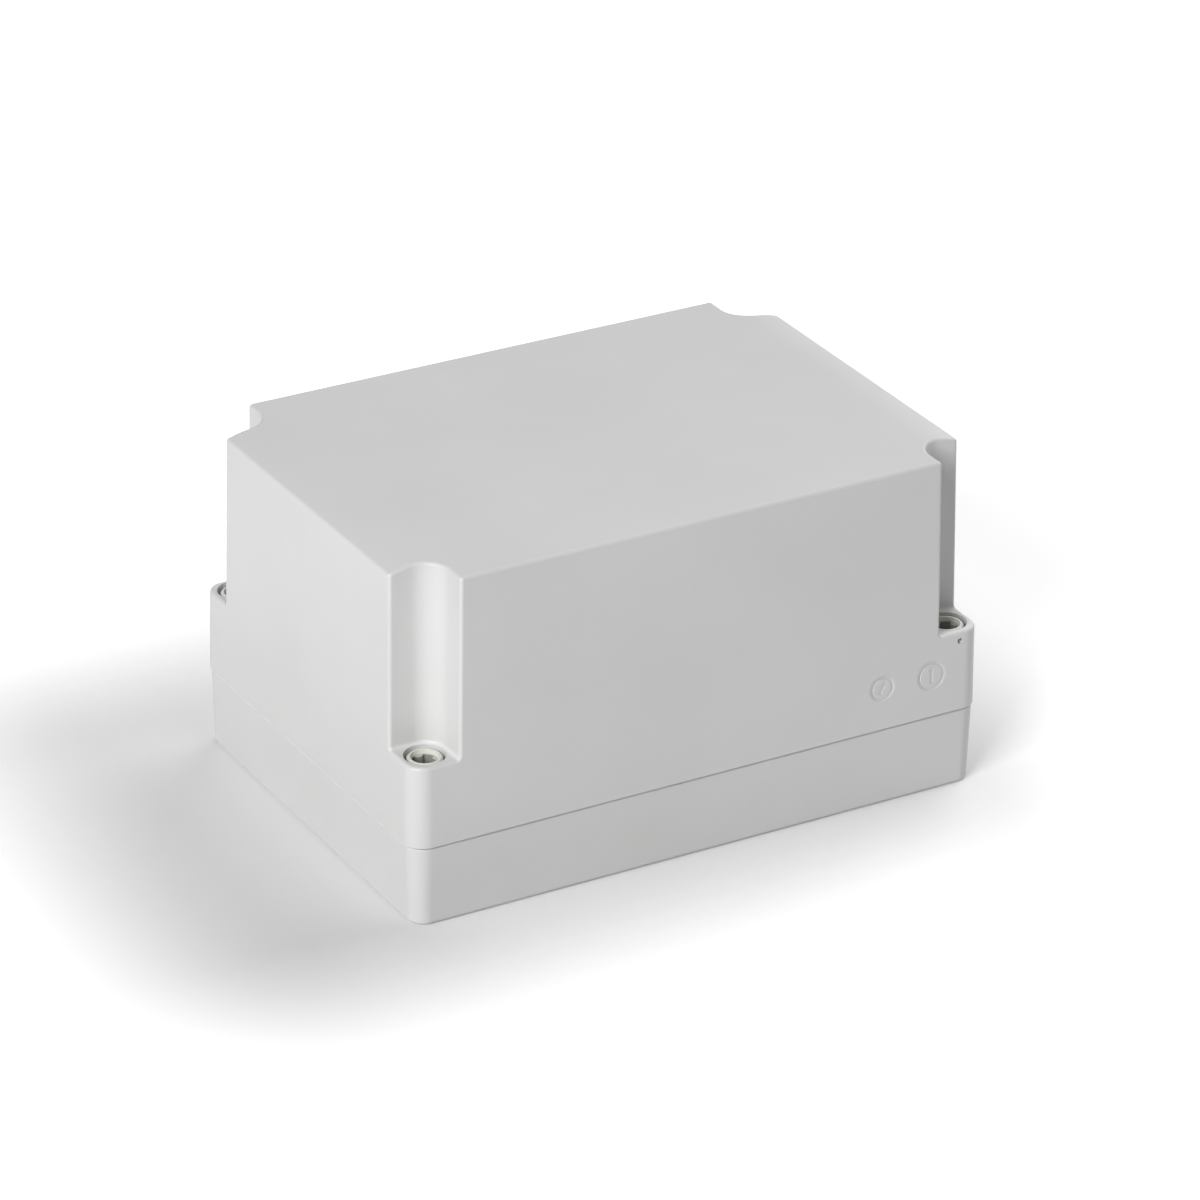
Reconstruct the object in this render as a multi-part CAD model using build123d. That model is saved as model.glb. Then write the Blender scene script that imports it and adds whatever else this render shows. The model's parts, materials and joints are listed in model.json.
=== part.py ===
from build123d import *
import os
from math import atan2, cos, degrees, radians, sin, tan

os.makedirs("parts", exist_ok=True)

# A two-part moulded project box: a shallow base, and a tall lid whose four corners are
# channels for a screwdriver. Each channel ends on a ledge, where the lid screw sits.
# Millimetres. The origin is the middle of the underside, +X runs along the length, and
# -Y is the front. Plan sizes are those of the lid's lower rim, its widest place, and an
# inset is a distance inwards from that plan.

# Outside
length = 160.0
width = 113.0
height = 90.5
corner_radius = 5.3
edge_round = 0.9

# Lid
lid_bottom = 21.5
lid_draft = 0.9
core_draft = 0.3
core_round = 1.5
core_chamfer = 1.0
top_wall = 3.0
crown_width = 10.0
crown_drop = 1.7

# Corner channels and their ledges
ledge_height = 43.0
ledge_round = 1.0
screw_inset = 6.8
channel_radius = 5.6

# Seats for the lid screws, in the lid
head_seat = 37.0
seat_web = 3.0
counterbore_radius = 5.2
shank_hole_radius = 2.8
pocket_radius = 4.3

# Lower rim of the lid: outer lip, groove for the seal, inner rib
lip = 1.1
groove_width = 2.0
groove_depth = 4.0
rib = 0.9

# Seal
seal_thickness = 1.6
seal_side_gap = 0.1
seal_gap = 0.1

# Base
parting_gap = 0.5
base_step = 0.35
base_draft = 1.5
floor_wall = 2.8
bottom_round = 1.2
rim_chamfer = 0.3
tongue_gap = 0.4
tongue_width = 1.2
stop_radius = 5.6

# Lid screws
head_radius = 4.35
head_height = 5.6
head_chamfer = 0.4
shank_radius = 2.5
screw_lift = 9.4
tip_chamfer = 0.8
tip_gap = 2.0
thread_gap = 0.05
dish_radius = 3.5
dish_depth = 1.2
dish_taper = 12.0
cross_arm = 2.6
cross_core = 2.3
cross_depth = 3.4
cross_taper = 4.0

# Split retaining rings on the screws, which stop them in the lid when they are undone
ring_stop_gap = 0.15
ring_thickness = 1.3
ring_radius = 3.9
ring_slot = 1.6
ring_gap = 0.05
neck_radius = 2.0

# Holes for a sealing wire, at two opposite corners
wire_hole_radius = 0.75
wire_hole_drop = 2.5

# Fixing holes through the floor
fixing_inset_x = 22.5
fixing_inset_y = 14.5
fixing_hole_radius = 2.25
fixing_boss_radius = 5.5
fixing_boss_height = 5.5

# Bosses for a mounting plate, with threaded inserts
insert_inset_x = 14.0
insert_inset_y = 28.5
insert_radius = 2.7
insert_length = 6.0
insert_thread_radius = 1.65
insert_gap = 0.03
insert_boss_wall = 1.7
insert_boss_height = 11.0

# Mould date marks on the front
mark_height = 32.8
large_mark_x = 65.1
large_mark_radius = 3.8
large_mark_turn = 0.0
small_mark_x = 50.8
small_mark_radius = 3.3
small_mark_turn = -25.0
mark_groove = 0.7
mark_depth = 0.15
arrow_width = 0.9

# Worked out from the sizes above
base_rim = lid_bottom - parting_gap
groove_end = lip + groove_width
lid_wall = groove_end + rib
groove_top = lid_bottom + groove_depth
seal_bottom = groove_top - seal_thickness
tongue_inset = lip + tongue_gap
base_wall_end = tongue_inset + tongue_width
tongue_top = seal_bottom - seal_gap
head_top = head_seat + head_height
screw_tip = lid_bottom - screw_lift
ring_bottom = head_seat - seat_web - screw_lift - ring_stop_gap - ring_thickness
screw_x = length / 2 - screw_inset
screw_y = width / 2 - screw_inset
fixing_x = length / 2 - fixing_inset_x
fixing_y = width / 2 - fixing_inset_y
insert_x = length / 2 - insert_inset_x
insert_y = width / 2 - insert_inset_y
past = 5.0
tiny = 1e-4

CORNERS = {
    "front_left": (-1, -1),
    "front_right": (1, -1),
    "back_left": (-1, 1),
    "back_right": (1, 1),
}
SCREW_TURNS = {
    "front_left": 45.0,
    "front_right": 60.0,
    "back_left": 75.0,
    "back_right": 10.0,
}
WIRE_CORNERS = ["front_right", "back_left"]


def lid_inset(z):
    """How far the lid's outer walls have leaned in at height z."""
    return (z - lid_bottom) * tan(radians(lid_draft))


def rounded_plate(inset):
    """Plan of the box with its round corners, moved inwards by inset."""
    return RectangleRounded(length - 2 * inset, width - 2 * inset, corner_radius - inset)


def four_ways(shape):
    """The shape at the back right corner and its mirror images at the other three."""
    pair = [shape, mirror(shape, Plane.YZ)]
    return pair + [mirror(part, Plane.XZ) for part in pair]


def corner_plate(inset):
    """Plan of the back right screw corner: a square with one round corner about the screw."""
    radius = channel_radius + inset
    reach = screw_inset + radius
    side = 3 * reach
    away = side / 2 - reach
    return Pos(length / 2 + away, width / 2 + away) * RectangleRounded(side, side, radius)


def notched_plate(inset, corner_round):
    """Plan of the box without its screw corners, moved inwards by inset."""
    half_x = length / 2 - inset
    half_y = width / 2 - inset
    plan = Rectangle(2 * half_x, 2 * half_y) - four_ways(corner_plate(inset))
    ends = [v for v in plan.vertices() if half_x - abs(v.X) < tiny or half_y - abs(v.Y) < tiny]
    return fillet(ends, corner_round)


def upright(plan, low, high, taper=0.0):
    """Block on a plan from one height to another. With a taper it narrows on the way."""
    return extrude(Pos(0, 0, low) * plan, amount=high - low, taper=taper)


def rod(radius, low, high):
    """Upright round bar about the Z axis."""
    return upright(Circle(radius), low, high)


def tube(outer, inner, low, high):
    """Upright round tube about the Z axis."""
    return upright(Circle(outer) - Circle(inner), low, high)


def at_four(shape, x, y):
    """The shape at a place in the back right quarter and at its mirror images."""
    return four_ways(Pos(x, y) * shape)


def notched_block(inset, low, high, taper):
    """Block without the screw corners that narrows by its draft from low to high."""
    block = upright(Rectangle(length - 2 * inset, width - 2 * inset), low, high, taper)
    return block - four_ways(upright(corner_plate(inset), low, high, -taper))


def crowned_block(depth):
    """Block whose flat top rolls down at both ends of the box, lowered by depth."""
    roll = (crown_width**2 + crown_drop**2) / (2 * crown_drop)
    flat = length / 2 - lid_inset(height) - crown_width
    sweep = degrees(atan2(crown_width + past, roll))
    right = CenterArc((flat, height - roll), roll - depth, 90, -sweep)
    left = CenterArc((-flat, height - roll), roll - depth, 90, sweep)
    roof = Line((-flat, height - depth), (flat, height - depth))
    end = right @ 1
    walls = Polyline((end.X, end.Y), (end.X, 0), (-end.X, 0), (-end.X, end.Y))
    return extrude(Plane.XZ * make_face([left, roof, right, walls]), amount=width, both=True)


def sharp_edges(block, low, high):
    """Edges between two heights at which two faces of the block meet at an angle."""
    faces_at = {}
    for face in block.faces():
        for edge in face.edges():
            faces_at.setdefault(edge, []).append(face)
    sharp = []
    for edge, faces in faces_at.items():
        middle = edge @ 0.5
        normals = [face.normal_at(middle) for face in faces]
        if low < middle.Z < high and normals[0].get_angle(normals[-1]) > 15:
            sharp.append(edge)
    return sharp


def soft_core(room, low, high):
    """Room with round upright edges and a chamfered end, between two heights."""
    room = fillet([edge for edge in sharp_edges(room, low, high) if abs((edge % 0.5).Z) > 0.9], core_round)
    return chamfer(sharp_edges(room, low, high), core_chamfer)


def lid_outside():
    """Solid block of the lid: drafted walls, crowned top, channels and ledges, soft edges."""
    block = upright(rounded_plate(0), lid_bottom, height + past, lid_draft) & crowned_block(0)
    channel = upright(corner_plate(lid_inset(ledge_height)), ledge_height, height + past, -lid_draft)
    channel = fillet(channel.faces().sort_by(Axis.Z)[0].edges(), ledge_round)
    block -= four_ways(channel)
    return fillet(sharp_edges(block, lid_bottom + tiny, height + past), edge_round)


def lid_inside():
    """Room inside the lid, as the core of its mould: drafted, crowned and soft-edged."""
    room = notched_block(lid_wall, lid_bottom, height, core_draft) & crowned_block(top_wall)
    return soft_core(room, lid_bottom + tiny, height)


def date_mark(x, radius, turn):
    """Ring and arrow sunk in the front wall, on its slant, to be cut from the lid."""
    face_y = -(width / 2 - lid_inset(mark_height))
    outwards = (0, -cos(radians(lid_draft)), sin(radians(lid_draft)))
    wall = Plane(origin=(x, face_y, mark_height), x_dir=(1, 0, 0), z_dir=outwards)
    inner = radius - mark_groove
    shaft = Rectangle(arrow_width, 1.3 * inner)
    point = Pos(0, 0.55 * inner) * RegularPolygon(arrow_width, 3, rotation=90)
    sign = Circle(radius) - Circle(inner) + Rot(0, 0, turn) * (shaft + point)
    return extrude(wall * sign, amount=-mark_depth)


def make_lid():
    lid = lid_outside() - lid_inside()
    groove = notched_plate(lip, core_round) - notched_plate(groove_end, core_round / 2)
    lid -= upright(groove, lid_bottom, groove_top)
    seat = rod(counterbore_radius, head_seat, height)
    shank_hole = rod(shank_hole_radius, lid_bottom, head_seat)
    pocket = rod(pocket_radius, lid_bottom, head_seat - seat_web)
    lid -= at_four(seat + shank_hole + pocket, screw_x, screw_y)
    for corner in WIRE_CORNERS:
        sx, sy = CORNERS[corner]
        start = Plane((sx * screw_x, sy * screw_y, ledge_height - wire_hole_drop), z_dir=(0, sy, 0))
        lid -= extrude(start * Circle(wire_hole_radius), amount=screw_inset + past)
    lid -= date_mark(large_mark_x, large_mark_radius, large_mark_turn)
    lid -= date_mark(small_mark_x, small_mark_radius, small_mark_turn)
    return lid


def make_base():
    body = upright(rounded_plate(base_step), base_rim, 0, base_draft)
    body = fillet(body.faces().sort_by(Axis.Z)[0].edges(), bottom_round)
    body = chamfer(body.faces().sort_by(Axis.Z)[-1].edges(), rim_chamfer)
    body += upright(notched_plate(tongue_inset, core_round), base_rim - past, tongue_top)
    room = notched_block(base_wall_end, tongue_top, floor_wall, base_draft)
    body -= soft_core(room, 0, tongue_top - tiny)
    body += at_four(rod(stop_radius, base_rim - past, lid_bottom), screw_x, screw_y)
    body -= at_four(rod(shank_radius + thread_gap, screw_tip - tip_gap, lid_bottom), screw_x, screw_y)
    body += at_four(rod(fixing_boss_radius, 0, fixing_boss_height), fixing_x, fixing_y)
    body -= at_four(rod(fixing_hole_radius, 0, fixing_boss_height), fixing_x, fixing_y)
    seat = insert_radius + insert_gap
    boss = rod(seat + insert_boss_wall, floor_wall / 2, insert_boss_height)
    hole = rod(seat, insert_boss_height - insert_length, insert_boss_height)
    body += at_four(boss - hole, insert_x, insert_y)
    return body


def make_gasket():
    outer = notched_plate(lip + seal_side_gap, core_round)
    inner = notched_plate(groove_end - seal_side_gap, core_round / 2)
    return upright(outer - inner, seal_bottom, groove_top)


def make_screw():
    """Lid screw about the Z axis: round head with a dished cross recess, shank and neck."""
    head = rod(head_radius, head_seat, head_top)
    head = chamfer(head.faces().sort_by(Axis.Z)[-1].edges(), head_chamfer)
    shank = rod(shank_radius, screw_tip, head_seat)
    shank = chamfer(shank.faces().sort_by(Axis.Z)[0].edges(), tip_chamfer)
    dish = upright(Circle(dish_radius), head_top, head_top - dish_depth, dish_taper)
    dish_floor = dish_radius - dish_depth * tan(radians(dish_taper))
    span = 2 * dish_floor
    cross = Rectangle(span, cross_arm) + Rectangle(cross_arm, span)
    cross_top = head_top - dish_depth
    cross = upright(cross, cross_top, cross_top - cross_depth, cross_taper)
    core = upright(Circle(cross_core), cross_top, cross_top - cross_depth, cross_taper)
    neck_low = ring_bottom - ring_gap
    neck = tube(shank_radius + past, neck_radius, neck_low, neck_low + ring_thickness + 2 * ring_gap)
    return head + shank - dish - cross - core - neck


def make_retainer():
    """Split ring that snaps onto the screw's neck and stops it at the lid's web."""
    slot = Pos(ring_radius, 0) * Rectangle(2 * ring_radius, ring_slot)
    plan = Circle(ring_radius) - Circle(neck_radius + ring_gap) - slot
    return upright(plan, ring_bottom, ring_bottom + ring_thickness)


def make_insert():
    """Threaded brass bush that stands flush in the top of its boss."""
    return tube(insert_radius, insert_thread_radius, insert_boss_height - insert_length, insert_boss_height)


pieces = {"base": make_base(), "lid": make_lid(), "gasket": make_gasket()}
screw, retainer, insert = make_screw(), make_retainer(), make_insert()
for corner, (sx, sy) in CORNERS.items():
    turn = Rot(0, 0, SCREW_TURNS[corner])
    pieces[f"lid_screw_{corner}"] = Pos(sx * screw_x, sy * screw_y) * turn * screw
    pieces[f"screw_retainer_{corner}"] = Pos(sx * screw_x, sy * screw_y) * turn * retainer
    pieces[f"threaded_insert_{corner}"] = Pos(sx * insert_x, sy * insert_y) * insert

for name, piece in pieces.items():
    piece.label = name
    export_step(piece, f"parts/{name}.step")
    print(name, round(piece.volume, 1), piece.is_valid)
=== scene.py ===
# %% [markdown]
# # A light grey project box
#
# The object is a tall moulded enclosure: a shallow base, a deep lid, a seal between them and
# four plastic screws that pull the two halves together. The solids come in at their real
# size, in metres. This lesson dresses them: it smooths the mouldings, cuts threads on the
# screws and bushes, gives every piece its finish, and then lights and frames the picture.

# %% The frame
import json
import math

import bmesh
import bpy
import numpy as np
from mathutils import Matrix, Vector


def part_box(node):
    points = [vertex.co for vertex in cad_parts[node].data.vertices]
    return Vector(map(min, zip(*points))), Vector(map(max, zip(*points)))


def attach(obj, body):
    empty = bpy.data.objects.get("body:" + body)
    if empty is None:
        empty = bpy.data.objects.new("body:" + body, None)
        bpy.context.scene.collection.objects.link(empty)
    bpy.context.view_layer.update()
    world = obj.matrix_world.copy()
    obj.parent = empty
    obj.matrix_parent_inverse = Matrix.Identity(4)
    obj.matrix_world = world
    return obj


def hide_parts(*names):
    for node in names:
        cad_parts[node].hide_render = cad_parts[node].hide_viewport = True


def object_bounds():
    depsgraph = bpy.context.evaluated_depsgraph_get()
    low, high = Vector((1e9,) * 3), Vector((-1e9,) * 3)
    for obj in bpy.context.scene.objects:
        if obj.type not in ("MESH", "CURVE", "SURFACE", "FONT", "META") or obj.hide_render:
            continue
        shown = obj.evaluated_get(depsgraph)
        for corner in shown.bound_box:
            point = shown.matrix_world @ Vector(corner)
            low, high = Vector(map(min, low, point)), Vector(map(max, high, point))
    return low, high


MM = 0.001
CORNERS = ("front_left", "front_right", "back_left", "back_right")

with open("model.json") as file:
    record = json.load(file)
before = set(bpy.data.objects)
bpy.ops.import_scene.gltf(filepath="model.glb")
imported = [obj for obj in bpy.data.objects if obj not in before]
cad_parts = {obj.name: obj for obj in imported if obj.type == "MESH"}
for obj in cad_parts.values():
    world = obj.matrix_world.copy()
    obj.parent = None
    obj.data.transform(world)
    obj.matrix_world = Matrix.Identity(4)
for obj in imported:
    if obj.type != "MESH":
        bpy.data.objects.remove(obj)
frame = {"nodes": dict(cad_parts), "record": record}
cad_box = [list(corner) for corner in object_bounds()]
print("pieces in the frame:", len(frame["nodes"]))

# %% [markdown]
# ## Helpers for meshes
#
# Every piece is a smoothed copy of a solid or a new surface. Both could be edited by hand in
# edit mode, but bmesh does the same steps from code and gives the same result each run.

# %% Opening a mesh, putting it back and adding an object
def opened(skin):
    """A mesh opened for editing."""
    work = bmesh.new()
    work.from_mesh(skin)
    return work


def put_back(work, skin):
    """Writes an edited mesh back and frees the editor."""
    work.to_mesh(skin)
    work.free()


def add_object(name, data):
    """A new object for a mesh, a lamp or a camera, linked to the scene."""
    thing = bpy.data.objects.new(name, data)
    bpy.context.scene.collection.objects.link(thing)
    return thing


# %% [markdown]
# ## Smoothing a moulding
#
# An imported solid is a cloud of loose triangles, so its round edges look faceted. It could be
# subdivided, but that would round its crisp edges too. Merging the doubled corners gives one
# skin instead. Then every edge that turns by less than a set angle is shaded round, and the
# rest stays crisp. Broad flat faces must keep a flat shade right up to their rounded edges,
# so each corner takes its normal mostly from its largest faces.

# %% Merged and shaded copies of the solids
MERGE_DISTANCE = 0.001 * MM
CRISP_ANGLE = math.radians(32)
FLAT_ANGLE = math.radians(0.1)
LARGEST_FACE_WEIGHT = 100


def merged_copy(node, name):
    """A new object with the solid's surface, its doubled corners merged into one skin."""
    work = opened(frame["nodes"][node].data)
    bmesh.ops.remove_doubles(work, verts=work.verts, dist=MERGE_DISTANCE)
    bmesh.ops.dissolve_degenerate(work, edges=work.edges, dist=MERGE_DISTANCE)
    skin = bpy.data.meshes.new(name)
    put_back(work, skin)
    return add_object(name, skin)


def shade_moulding(piece, angle=CRISP_ANGLE):
    """Round shading below the angle, crisp above it, and flat faces that stay flat."""
    work = opened(piece.data)
    bmesh.ops.dissolve_limit(work, angle_limit=FLAT_ANGLE, verts=work.verts, edges=work.edges)
    for face in work.faces:
        face.smooth = True
    for edge in work.edges:
        edge.smooth = edge.calc_face_angle(0.0) < angle
    put_back(work, piece.data)
    weighted = piece.modifiers.new("flat_faces_stay_flat", "WEIGHTED_NORMAL")
    weighted.mode = "FACE_AREA"
    weighted.weight = LARGEST_FACE_WEIGHT
    weighted.keep_sharp = True


def stand_for(piece, node, body, finish):
    """Puts a dressed piece in a solid's place: its body and its finish."""
    piece.data.materials.clear()
    piece.data.materials.append(finish)
    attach(piece, body)
    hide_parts(node)


# %% [markdown]
# ## Helpers for finishes
#
# A finish could be painted on an unwrapped skin, but a small tree of noise has no seams and
# keeps its real size on every piece. All the trees read the piece's own coordinates, in
# metres, so a noise of 1000 per metre has features of 1 mm.

# %% Nodes for colour, noise and places
ACROSS_AXIS = (1, 1, 0)
ALONG_FRONT = (1, 0, 1)


def new_finish(name, colour, roughness, specular=0.5):
    """An empty finish: one principled shader whose plain values sit on its own sockets."""
    finish = bpy.data.materials.new(name)
    finish.use_nodes = True
    finish.diffuse_color = (*colour, 1)
    tree = finish.node_tree
    shader = tree.nodes["Principled BSDF"]
    shader.inputs["Base Color"].default_value = (*colour, 1)
    shader.inputs["Roughness"].default_value = roughness
    shader.inputs["Specular IOR Level"].default_value = specular
    place = tree.nodes.new("ShaderNodeTexCoord")
    return finish, tree, shader, place.outputs["Object"]


def noise(tree, place, per_metre, detail=2.0, stretch=(1, 1, 1)):
    """Noise with so many features a metre, squeezed along the axes by the stretch."""
    mapping = tree.nodes.new("ShaderNodeMapping")
    mapping.inputs["Scale"].default_value = stretch
    tree.links.new(place, mapping.inputs["Vector"])
    texture = tree.nodes.new("ShaderNodeTexNoise")
    texture.inputs["Scale"].default_value = per_metre
    texture.inputs["Detail"].default_value = detail
    tree.links.new(mapping.outputs["Vector"], texture.inputs["Vector"])
    return texture.outputs["Fac"]


def spread(tree, value, low, high, from_low=0.3, from_high=0.7, smooth=False):
    """Carries a value from from_low..from_high, where most of a noise lies, to low..high.

    It does so along a line, or along a smooth step that starts and ends gently.
    """
    node = tree.nodes.new("ShaderNodeMapRange")
    node.inputs["From Min"].default_value = from_low
    node.inputs["From Max"].default_value = from_high
    node.inputs["To Min"].default_value = low
    node.inputs["To Max"].default_value = high
    if smooth:
        node.interpolation_type = "SMOOTHSTEP"
    tree.links.new(value, node.inputs["Value"])
    return node.outputs["Result"]


def tint(tree, value, first, second):
    """Mixes two colours, each plain or from another node, by a value from 0 to 1."""
    node = tree.nodes.new("ShaderNodeMix")
    node.data_type = "RGBA"
    tree.links.new(value, node.inputs[0])
    for socket, colour in ((node.inputs[6], first), (node.inputs[7], second)):
        if isinstance(colour, bpy.types.NodeSocket):
            tree.links.new(colour, socket)
        else:
            socket.default_value = (*colour, 1)
    return node.outputs[2]


def vector_math(tree, operation, first, second=(0, 0, 0)):
    """One vector operation, whose second operand is a plain vector."""
    node = tree.nodes.new("ShaderNodeVectorMath")
    node.operation = operation
    tree.links.new(first, node.inputs[0])
    node.inputs[1].default_value = second
    return node.outputs["Value" if operation == "LENGTH" else "Vector"]


def distance(tree, offset, mask):
    """Length of an offset, in which only the axes with a 1 in the mask count."""
    return vector_math(tree, "LENGTH", vector_math(tree, "MULTIPLY", offset, mask))


def along(tree, place, axis):
    """One coordinate of a place: its X, Y or Z."""
    split = tree.nodes.new("ShaderNodeSeparateXYZ")
    tree.links.new(place, split.inputs[0])
    return split.outputs[axis]


def combined(tree, operation, *values):
    """Several values carried one by one through the same operation."""
    total = values[0]
    for value in values[1:]:
        node = tree.nodes.new("ShaderNodeMath")
        node.operation = operation
        tree.links.new(total, node.inputs[0])
        tree.links.new(value, node.inputs[1])
        total = node.outputs[0]
    return total


def relief(tree, shader, layers):
    """Chains bumps, each a (height value, depth in metres) pair, into the shader's normal."""
    normal = None
    for height, depth in layers:
        bump = tree.nodes.new("ShaderNodeBump")
        bump.inputs["Distance"].default_value = depth
        tree.links.new(height, bump.inputs["Height"])
        if normal is not None:
            tree.links.new(normal, bump.inputs["Normal"])
        normal = bump.outputs["Normal"]
    tree.links.new(normal, shader.inputs["Normal"])


# %% [markdown]
# ## The plastic of the box
#
# The box is a satin light grey plastic, textured so finely that the grain only softens the
# light. A real moulding is never perfectly even: its tone and gloss wander a little, and
# broad faces sink by a few hundredths of a millimetre. The two round date marks on the front
# come from a pin in the mould. Their fine grooves are in the solid, and the soft slope round
# each is added here, because it is too shallow to be worth a surface of its own.

# %% Satin grey plastic
GREY = (0.665, 0.665, 0.662)
GREY_DARKER = (0.650, 0.650, 0.647)
GREY_LIGHTER = (0.680, 0.680, 0.677)
GREY_CLOUDS_PER_METRE = 22
SATIN = 0.42
SATIN_RANGE = (0.38, 0.48)
SATIN_CLOUDS_PER_METRE = 60
GRAIN_PER_METRE = 2400
GRAIN_DEPTH = 0.010 * MM
SINKS_PER_METRE = 30
SINK_DEPTH = 0.06 * MM
MARKS = ((65.1 * MM, 3.8 * MM), (50.8 * MM, 3.3 * MM))
MARK_HEIGHT = 32.8 * MM
MARK_SLOPE = 0.7 * MM
MARK_SINK = 0.17 * MM
FRONT_WALL = -55.9 * MM
WALL_FADE = 0.3 * MM


def mark_dishes(tree, place):
    """One on the wall round the two date marks and zero inside them, with a soft slope.

    Each mark is an X and a radius. Its dish is a smooth step of the distance from its axis,
    and the product of the dishes keeps both. Away from the front wall the value is one.
    """
    dishes = []
    for x, radius in MARKS:
        beside = vector_math(tree, "SUBTRACT", place, (x, 0, MARK_HEIGHT))
        dishes.append(spread(tree, distance(tree, beside, ALONG_FRONT), 0, 1,
                             radius - MARK_SLOPE, radius + MARK_SLOPE, smooth=True))
    behind = spread(tree, along(tree, place, "Y"), 0, 1, FRONT_WALL, FRONT_WALL + WALL_FADE)
    return combined(tree, "MAXIMUM", combined(tree, "MULTIPLY", *dishes), behind)


def moulded_plastic():
    """Even grey with a grain, slow sinks, uneven gloss and the soft slope of the marks."""
    finish, tree, shader, place = new_finish("satin_grey_plastic", GREY, SATIN)
    cloud = spread(tree, noise(tree, place, GREY_CLOUDS_PER_METRE), 0, 1)
    tree.links.new(tint(tree, cloud, GREY_DARKER, GREY_LIGHTER), shader.inputs["Base Color"])
    gloss = spread(tree, noise(tree, place, SATIN_CLOUDS_PER_METRE, detail=3), *SATIN_RANGE)
    tree.links.new(gloss, shader.inputs["Roughness"])
    relief(tree, shader, [
        (noise(tree, place, SINKS_PER_METRE, detail=1), SINK_DEPTH),
        (mark_dishes(tree, place), MARK_SINK),
        (noise(tree, place, GRAIN_PER_METRE), GRAIN_DEPTH),
    ])
    return finish


plastic = moulded_plastic()
print("finish of the box:", plastic.name)

# %% [markdown]
# ## The plastic of the lid screws
#
# The screws are an off-white polyamide, a little yellow and smoother than the box. Their cross
# recess is deep and narrow, and on the real screws it looks almost black. A pale finish alone
# sends too much light back out of it, so shade is painted into the recess. It could be a piece
# with a finish of its own, but a darker tone that begins below its rim, a painted shade, does
# the same on one skin.

# %% Off-white polyamide, with painted shade in the recess
SCREW_WHITE = (0.74, 0.74, 0.69)
SCREW_DARKER = (0.71, 0.71, 0.65)
SCREW_LIGHTER = (0.76, 0.76, 0.71)
SCREW_CLOUDS_PER_METRE = 300
SCREW_SATIN = 0.38
SCREW_GRAIN_PER_METRE = 1800
SCREW_GRAIN_DEPTH = 0.008 * MM
RECESS_PAINTED_SHADE = (0.29, 0.29, 0.265)
RECESS_RADIUS = 3.6 * MM
RECESS_BLUR = 0.1 * MM
RECESS_TOP = 41.7 * MM
RECESS_FADE = 0.5 * MM
RECESS_FLOOR = 37.8 * MM


def recess_shade_mask(tree, place):
    """Mask of the painted shade: one deep in a screw's cross recess and zero elsewhere.

    The four screws stand as mirror images, so the absolute value of a place less one screw's
    axis is the place about the nearest axis. Its length across and its height tell the rest.
    """
    low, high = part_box("lid_screw_back_right")
    axis = (low + high) / 2
    mirrored = vector_math(tree, "ABSOLUTE", place)
    about = vector_math(tree, "SUBTRACT", mirrored, (axis.x, axis.y, 0))
    across = distance(tree, about, ACROSS_AXIS)
    height = along(tree, place, "Z")
    near = spread(tree, across, 1, 0, RECESS_RADIUS - RECESS_BLUR, RECESS_RADIUS)
    sunk = spread(tree, height, 1, 0, RECESS_TOP - RECESS_FADE, RECESS_TOP)
    above_floor = spread(tree, height, 0, 1, RECESS_FLOOR - RECESS_BLUR, RECESS_FLOOR)
    return combined(tree, "MULTIPLY", near, sunk, above_floor)


def polyamide():
    """Slightly yellow off-white with a fine grain, and painted shade in the deep recess."""
    finish, tree, shader, place = new_finish("off_white_polyamide", SCREW_WHITE, SCREW_SATIN)
    cloud = spread(tree, noise(tree, place, SCREW_CLOUDS_PER_METRE), 0, 1)
    skin = tint(tree, cloud, SCREW_DARKER, SCREW_LIGHTER)
    # Painted shade: the deep part of each cross recess is tinted darker, standing in for its
    # shade.
    painted_recess_shade = tint(tree, recess_shade_mask(tree, place), skin, RECESS_PAINTED_SHADE)
    tree.links.new(painted_recess_shade, shader.inputs["Base Color"])
    relief(tree, shader, [(noise(tree, place, SCREW_GRAIN_PER_METRE), SCREW_GRAIN_DEPTH)])
    return finish


screw_plastic = polyamide()
print("finish of the screws:", screw_plastic.name)

# %% [markdown]
# ## Brass and sealing rubber
#
# The bushes are turned from brass bar, so fine rings run round them. An anisotropic shader
# could show that, but rings of noise also catch the light in the bore. The seal is a foam
# rubber whose black skin is full of small pits, which one noise darkens and sinks together.

# %% Turned brass and black rubber
BRASS = (0.78, 0.60, 0.30)
BRASS_GLOSS = 0.30
BRASS_GLOSS_RANGE = (0.24, 0.40)
RINGS_PER_METRE = 400
RING_SQUEEZE = (1, 1, 20)
RING_DEPTH = 0.008 * MM
SEAL_BLACK = (0.035, 0.035, 0.036)
SEAL_DARKER = (0.028, 0.028, 0.029)
SEAL_LIGHTER = (0.05, 0.05, 0.051)
SEAL_MATT = 0.75
SEAL_SPECULAR = 0.3
PITS_PER_METRE = 3000
PIT_DEPTH = 0.05 * MM


def turned_brass():
    """Brass with fine turning rings, which are noise squeezed hard along Z."""
    finish, tree, shader, place = new_finish("turned_brass", BRASS, BRASS_GLOSS)
    shader.inputs["Metallic"].default_value = 1.0
    rings = noise(tree, place, RINGS_PER_METRE, stretch=RING_SQUEEZE)
    tree.links.new(spread(tree, rings, *BRASS_GLOSS_RANGE), shader.inputs["Roughness"])
    relief(tree, shader, [(rings, RING_DEPTH)])
    return finish


def sealing_rubber():
    """Matt black foam rubber with a pitted skin."""
    finish, tree, shader, place = new_finish("black_sealing_rubber", SEAL_BLACK, SEAL_MATT,
                                             SEAL_SPECULAR)
    pits = noise(tree, place, PITS_PER_METRE, detail=3)
    skin = tint(tree, spread(tree, pits, 0, 1), SEAL_DARKER, SEAL_LIGHTER)
    tree.links.new(skin, shader.inputs["Base Color"])
    relief(tree, shader, [(pits, PIT_DEPTH)])
    return finish


brass = turned_brass()
rubber = sealing_rubber()
print("other finishes:", brass.name, "and", rubber.name)

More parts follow.
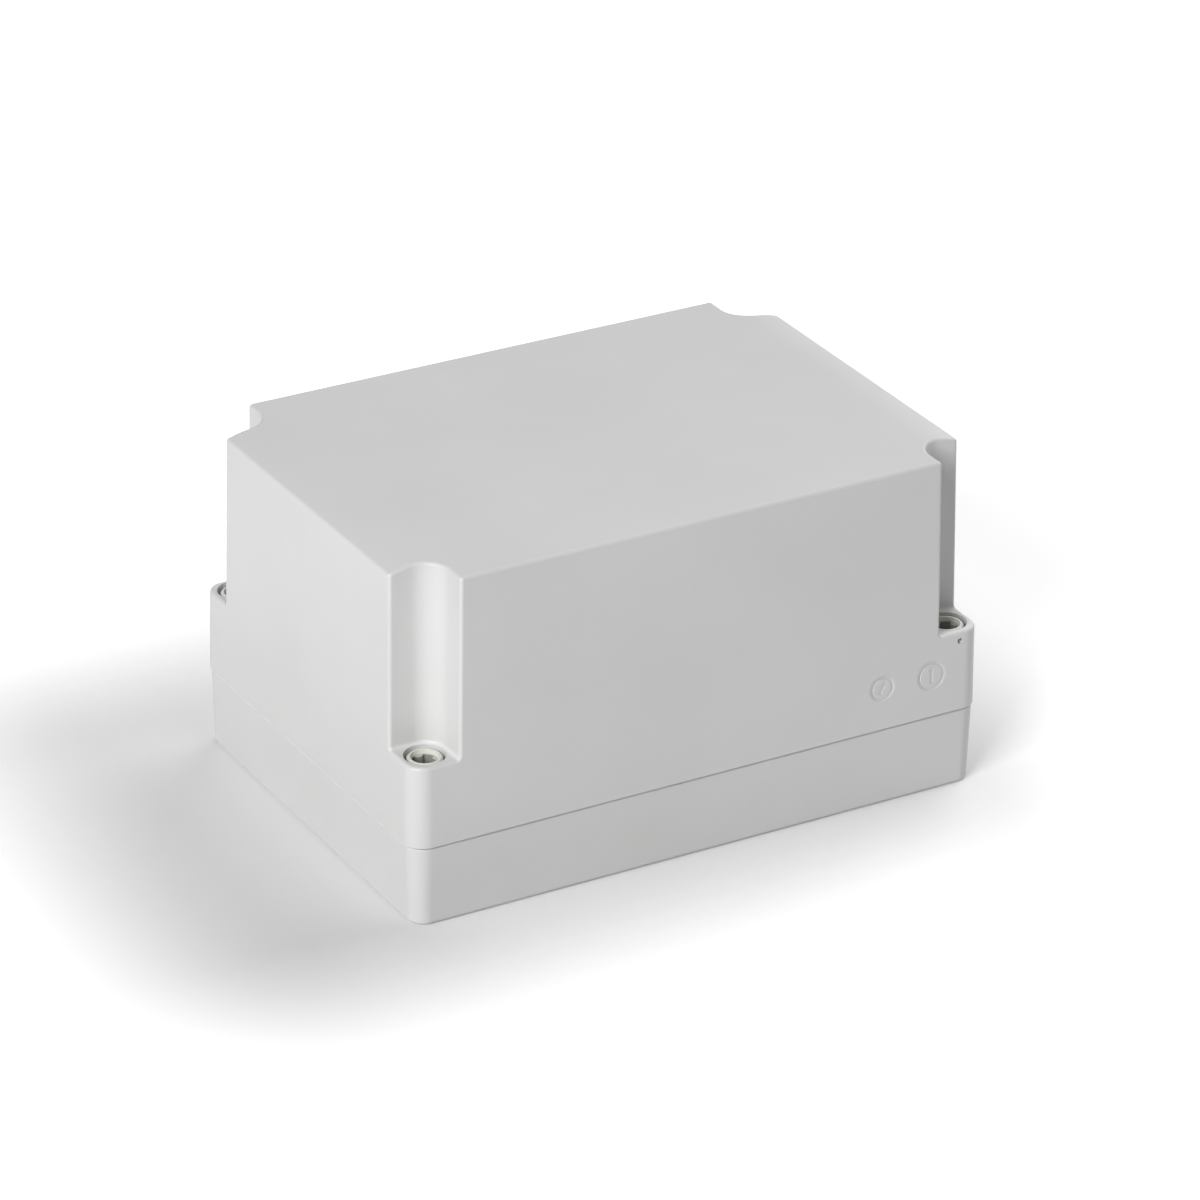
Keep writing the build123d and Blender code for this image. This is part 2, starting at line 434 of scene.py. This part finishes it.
# %% [markdown]
# ## The two halves
#
# The lid and the base are single mouldings with leaning walls, rounded edges and a channel
# for a screwdriver at each corner. They could be modelled again as subdivision surfaces, but
# their solids already have the true form, so each is dressed as a merged copy.

# %% Lid and base
for node, body in (("lid", "lid_half"), ("base", "base_half")):
    moulding = merged_copy(node, node + "_moulding")
    shade_moulding(moulding)
    stand_for(moulding, node, body, plastic)
    print(moulding.name, len(moulding.data.polygons), "faces")

# %% [markdown]
# ## The seal and the retaining rings
#
# The seal lies in the lid's groove, and a split ring keeps each screw in the lid. The seal is
# soft and the rings are moulded, so neither has a knife edge. Their edges could be rounded in
# the solids, but a narrow bevel on a merged copy is enough, and as a modifier its width can
# still be changed.

# %% Softened copies
SOFT_ANGLE = math.radians(40)
SAME_FACE_ANGLE = math.radians(1)
SEAL_EDGE = 0.30 * MM
RING_EDGE = 0.15 * MM


def softened_copy(node, name, width, segments=2):
    """Merged copy whose sharp edges carry a bevel of the given width in metres."""
    piece = merged_copy(node, name)
    work = opened(piece.data)
    bmesh.ops.dissolve_limit(work, angle_limit=SAME_FACE_ANGLE, verts=work.verts,
                             edges=work.edges)
    put_back(work, piece.data)
    bevel = piece.modifiers.new("soft_edges", "BEVEL")
    bevel.width = width
    bevel.segments = segments
    bevel.limit_method = "ANGLE"
    bevel.angle_limit = SOFT_ANGLE
    shade_moulding(piece, SOFT_ANGLE)
    return piece


seal = softened_copy("gasket", "foam_seal", SEAL_EDGE, segments=3)
stand_for(seal, "gasket", "lid_half", rubber)
for corner in CORNERS:
    node = "screw_retainer_" + corner
    ring = softened_copy(node, "split_ring_" + corner, RING_EDGE)
    stand_for(ring, node, "retainer_" + corner, screw_plastic)
print("soft edges in mm:", round(SEAL_EDGE / MM, 2), "and", round(RING_EDGE / MM, 2))

# %% [markdown]
# ## Threads
#
# The lid screws have a coarse thread for plastic, and the brass bushes a fine metal one. A
# profile could be swept with the Screw modifier, but its ends would stay open and blunt. Here
# a thread is one surface with two parameters, the angle round the axis and the height. Its
# radius rises and falls with the height, and the wave is shifted by one pitch for each turn.

# %% A threaded surface
FLANK_PUSH = 0.95
FADE_PITCHES = 0.6


def thread_radius(angle, height, root, crest, pitch, start, end):
    """Radius of a right-hand thread, which fades out over part of a pitch at both ends.

    The wave is a cosine of (height / pitch - angle / turn), pushed hard against its limits,
    so that crests and roots get flats and the flanks are steep.
    """
    phase = 2 * np.pi * height / pitch - angle
    wave = np.clip(0.5 + FLANK_PUSH * np.cos(phase), 0, 1)
    to_end = np.minimum(height - start, end - height)
    fade = np.clip(to_end / (FADE_PITCHES * pitch), 0, 1)
    return root + (crest - root) * wave * fade


def full_turn(sides):
    """Angles of so many points evenly round a circle."""
    return np.linspace(0, 2 * np.pi, sides, endpoint=False)


def closed_revolve(name, radii, heights, centre):
    """Object from rings of points: radii is rings x sides, heights one value a ring.

    The point at ring i and side j is centre + (r cos a, r sin a, h). Where the first and the
    last ring have no radius, merging their corners closes the ends. Where they are the same
    ring, it closes the strip.
    """
    rings, sides = radii.shape
    angle = full_turn(sides)
    points = np.empty((rings, sides, 3))
    points[..., 0] = centre[0] + radii * np.cos(angle)
    points[..., 1] = centre[1] + radii * np.sin(angle)
    points[..., 2] = centre[2] + heights[:, None]
    index = np.arange(rings * sides).reshape(rings, sides)
    following = np.roll(index, -1, axis=1)
    corners = [index[:-1], following[:-1], following[1:], index[1:]]
    quads = np.stack(corners, axis=-1).reshape(-1, 4)
    skin = bpy.data.meshes.new(name)
    skin.from_pydata(points.reshape(-1, 3), [], quads.tolist())
    work = opened(skin)
    bmesh.ops.remove_doubles(work, verts=work.verts, dist=MERGE_DISTANCE)
    bmesh.ops.recalc_face_normals(work, faces=work.faces)
    put_back(work, skin)
    return add_object(name, skin)


# %% [markdown]
# ## The lid screws
#
# The head, its cross recess and the neck come from the solid. Below the neck the solid is a
# plain bar of the thread's outer diameter. A bump could only paint a thread on it, and its
# outline would stay straight, so that part is cut away and a threaded bar takes its place.
# Its pitch is how far the screw rises in one turn, which the joints already know.

# %% Lid screws
SCREW_SIDES = 72
SCREW_RINGS_PER_PITCH = 20
SHANK_RADIUS = 2.5 * MM
ROOT_DEPTH = 0.55 * MM
TIP = 0.8 * MM
RADIANS_PER_METRE = frame["record"]["behaviour"]["couplings"][0]["ratio"]
PITCH = 2 * math.pi / RADIANS_PER_METRE


def threaded_bar(name, centre, top):
    """Threaded shank from its tip, at the centre's height, up to top, with a blunt point.

    The radius is the thread's, or less near the tip, where a cone grows with the height.
    """
    bar = top - centre[2]
    heights = np.linspace(0, bar, int(bar / PITCH * SCREW_RINGS_PER_PITCH))
    radii = thread_radius(full_turn(SCREW_SIDES)[None, :], heights[:, None],
                          SHANK_RADIUS - ROOT_DEPTH, SHANK_RADIUS, PITCH, TIP, bar - TIP)
    cone = SHANK_RADIUS - TIP + heights
    radii = np.minimum(radii, cone[:, None])
    closed = np.zeros((1, SCREW_SIDES))
    radii = np.vstack([closed, radii, closed])
    heights = np.concatenate([[0], heights, [bar]])
    return closed_revolve(name, radii, heights, centre)


def cut_below(piece, height):
    """Cuts a closed piece off at a height, keeps what is above and closes the cut."""
    work = opened(piece.data)
    everything = work.verts[:] + work.edges[:] + work.faces[:]
    cut = bmesh.ops.bisect_plane(work, geom=everything, plane_co=(0, 0, height),
                                 plane_no=(0, 0, 1), clear_inner=True)
    rim = [item for item in cut["geom_cut"] if isinstance(item, bmesh.types.BMEdge)]
    bmesh.ops.edgeloop_fill(work, edges=rim)
    put_back(work, piece.data)


for corner in CORNERS:
    node = "lid_screw_" + corner
    low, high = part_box(node)
    ring_low, ring_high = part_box("screw_retainer_" + corner)
    neck = (ring_low.z + ring_high.z) / 2
    head = merged_copy(node, "screw_head_" + corner)
    cut_below(head, neck)
    shade_moulding(head)
    stand_for(head, node, "screw_" + corner, screw_plastic)
    middle = (low + high) / 2
    shank = threaded_bar("screw_thread_" + corner, (middle.x, middle.y, low.z), neck)
    shade_moulding(shank)
    shank.data.materials.append(screw_plastic)
    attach(shank, "screw_" + corner)
print("screw pitch in mm:", round(PITCH / MM, 3))

# %% [markdown]
# ## The brass bushes
#
# A bush is knurled outside, where the plastic grips it, and threaded inside. It could be a
# tube with both cut into it, but a boolean cut leaves a ragged mesh. Instead its whole skin
# is one closed strip carried round the axis: up the outside, in over the top and down the bore.

# %% Threaded bushes
BUSH_SIDES = 144
BUSH_BANDS = 7
BUSH_RINGS_PER_PITCH = 10
BUSH_PITCH = 0.7 * MM
BUSH_BORE = 1.65 * MM
THREAD_DEPTH = 0.30 * MM
KNURL_TEETH = 36
KNURL_DEPTH = 0.08 * MM
BUSH_CHAMFER = 0.25 * MM


def threaded_bush(name, low, high):
    """Closed skin of a bush: knurled outside, chamfered rims and a threaded bore.

    The knurl's radius is a cosine of the angle times the count of teeth, just below the
    outer radius, and the first and last bands are drawn in by the chamfer.
    """
    outer = (high.x - low.x) / 2
    tall = high.z - low.z
    angle = full_turn(BUSH_SIDES)
    up = np.linspace(0, tall, BUSH_BANDS)
    down = np.linspace(tall, 0, int(tall / BUSH_PITCH * BUSH_RINGS_PER_PITCH))
    knurl = outer - KNURL_DEPTH * (0.5 + 0.5 * np.cos(KNURL_TEETH * angle))
    gripping = ((up > BUSH_CHAMFER) & (up < tall - BUSH_CHAMFER))[:, None]
    outside = np.where(gripping, knurl, outer - BUSH_CHAMFER)
    inside = thread_radius(angle[None, :], down[:, None], BUSH_BORE + THREAD_DEPTH, BUSH_BORE,
                           BUSH_PITCH, 0, tall)
    radii = np.vstack([outside, inside, outside[:1]])
    heights = np.concatenate([up, down, up[:1]])
    middle = (low + high) / 2
    return closed_revolve(name, radii, heights, (middle.x, middle.y, low.z))


for corner in CORNERS:
    node = "threaded_insert_" + corner
    bush = threaded_bush("brass_bush_" + corner, *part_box(node))
    shade_moulding(bush)
    stand_for(bush, node, "base_half", brass)
print("bush:", len(bush.data.polygons), "faces, pitch in mm:", round(BUSH_PITCH / MM, 2))

# %% [markdown]
# ## The floor
#
# The box stands on a white sweep with a soft shadow and no horizon. More light would turn
# the floor white, but the box would then wash out. So the floor is a pale matt sheet, and
# what the camera sees of it gets a little light of its own, which never falls on the box. The
# glow is weaker round the box, which paints a soft shadow there on top of the real shadow
# and dark line of contact that the lamps give.
# The sheet lies a hair below the box, so that the two never share a plane.

# %% The white floor
FLOOR_SIZE = 12.0
FLOOR_DROP = 0.02 * MM
FLOOR_COLOUR = (0.80, 0.80, 0.80)
FLOOR_MATT = 0.9
WHITE = (1, 1, 1, 1)
GLOW_IN_PAINTED_SHADOW = 0.02
GLOW_FAR = 0.60
PAINTED_SHADOW_WIDTH = 85 * MM
PAINTED_SHADOW_SHIFT = (-22 * MM, 10 * MM, 0)


def camera_only(tree):
    """One where a ray comes from the camera, a mirror or a glass, and zero elsewhere."""
    path = tree.nodes.new("ShaderNodeLightPath")
    kinds = ("Is Camera Ray", "Is Glossy Ray", "Is Transmission Ray")
    return combined(tree, "MAXIMUM", *[path.outputs[kind] for kind in kinds])


def floor_glow_and_painted_shadow(tree, place):
    """Glow that grows from the box outwards, so that a soft shadow is painted round the box.

    The distance to the box's outline is the length of (absolute place - half size), with its
    negative parts cut off. A smooth step carries it from the near glow to the far one. The
    outline is shifted to the left and back, where the photograph keeps its deepest shadow.
    """
    half = cad_box[1]
    mirrored = vector_math(tree, "ABSOLUTE", vector_math(tree, "SUBTRACT", place, PAINTED_SHADOW_SHIFT))
    beyond = vector_math(tree, "SUBTRACT", mirrored, (half[0], half[1], 0))
    outside = distance(tree, vector_math(tree, "MAXIMUM", beyond), ACROSS_AXIS)
    # Painted shadow: the glow drops towards the box, darkening the floor round it.
    return spread(tree, outside, GLOW_IN_PAINTED_SHADOW, GLOW_FAR, 0, PAINTED_SHADOW_WIDTH, smooth=True)


def white_floor():
    """Large pale sheet, which glows for the camera alone."""
    sheet = bpy.data.meshes.new("floor")
    half = FLOOR_SIZE / 2
    outline = ((-half, -half), (half, -half), (half, half), (-half, half))
    sheet.from_pydata([(x, y, -FLOOR_DROP) for x, y in outline], [], [(0, 1, 2, 3)])
    finish, tree, shader, place = new_finish("white_floor", FLOOR_COLOUR, FLOOR_MATT, 0.0)
    shader.inputs["Emission Color"].default_value = WHITE
    glow = combined(tree, "MULTIPLY", camera_only(tree), floor_glow_and_painted_shadow(tree, place))
    tree.links.new(glow, shader.inputs["Emission Strength"])
    sheet.materials.append(finish)
    add_object("floor", sheet)


white_floor()
print("floor:", FLOOR_SIZE, "m wide")

# %% [markdown]
# ## The light
#
# A photograph of the surroundings could light the box, but two lamps are enough and are easy
# to change. A soft one on the left, a little higher than the camera, shows the left side, the
# round corner and the channel. A larger one behind on the right lights the far end of the roof and
# the two sides that turn away. The sky adds very little, and only looks white to the camera.

# %% Sky and lamps
SKY_LEVEL = 0.08
MIDDLE = Vector((0, 0, 0.045))
LAMP_DISTANCE = 2.0
KEY_LAMP = {"aside": 60, "above": 30, "size": 1.0, "power": 36.0}
FILL_LAMP = {"aside": -110, "above": 32, "size": 2.0, "power": 29.0}


def sky():
    """White to the camera, and a plain grey fill to everything else."""
    world = bpy.data.worlds.new("studio")
    bpy.context.scene.world = world
    world.use_nodes = True
    tree = world.node_tree
    background = tree.nodes["Background"]
    background.inputs["Color"].default_value = WHITE
    level = spread(tree, camera_only(tree), SKY_LEVEL, 1.0, 0, 1)
    tree.links.new(level, background.inputs["Strength"])


def soft_lamp(name, aside, above, size, power):
    """Square lamp that faces the box, so many degrees left of its front and above it."""
    turn, rise = math.radians(aside), math.radians(above)
    towards = Vector((-math.sin(turn) * math.cos(rise), -math.cos(turn) * math.cos(rise),
                      math.sin(rise)))
    lamp = bpy.data.lights.new(name, "AREA")
    lamp.shape = "SQUARE"
    lamp.size = size
    lamp.energy = power
    holder = add_object(name, lamp)
    holder.location = MIDDLE + towards * LAMP_DISTANCE
    holder.rotation_euler = (-towards).to_track_quat("-Z", "Y").to_euler()


sky()
soft_lamp("key_on_the_left", **KEY_LAMP)
soft_lamp("fill_on_the_right", **FILL_LAMP)
print("lamps:", len(bpy.data.lights))

# %% [markdown]
# ## The camera
#
# The photograph was taken from the front left with a long lens, which keeps the box's edges
# nearly parallel. The camera could be set by eye, but its angles, its distance and its lens
# were worked out from the straight edges of the box. It stands a little aside of the line
# through the box's middle, which moves the picture without tilting it.

# %% The photograph's camera
AZIMUTH = math.radians(-29.85)
ELEVATION = math.radians(26.60)
ROLL = math.radians(0.61)
DISTANCE = 1.4405
ASIDE_RIGHT = 0.00234
ASIDE_UP = -0.00037
LENS = 173.7
SENSOR = 36


def photograph_camera():
    """Camera on a sphere about the box: back points from the box to it, then it rolls."""
    back = Vector((math.sin(AZIMUTH) * math.cos(ELEVATION),
                   -math.cos(AZIMUTH) * math.cos(ELEVATION), math.sin(ELEVATION)))
    level = Vector((math.cos(AZIMUTH), math.sin(AZIMUTH), 0))
    plumb = back.cross(level)
    right = level * math.cos(ROLL) + plumb * math.sin(ROLL)
    up = back.cross(right)
    lens = bpy.data.cameras.new("photograph")
    lens.lens = LENS
    lens.sensor_width = SENSOR
    camera = add_object("photograph", lens)
    turn = Matrix((right, up, back)).transposed().to_4x4()
    place = MIDDLE + right * ASIDE_RIGHT + up * ASIDE_UP + back * DISTANCE
    camera.matrix_world = Matrix.Translation(place) @ turn
    bpy.context.scene.camera = camera


photograph_camera()
bpy.context.scene.view_settings.view_transform = "Standard"
print("camera: lens of", LENS, "mm at", DISTANCE, "m")
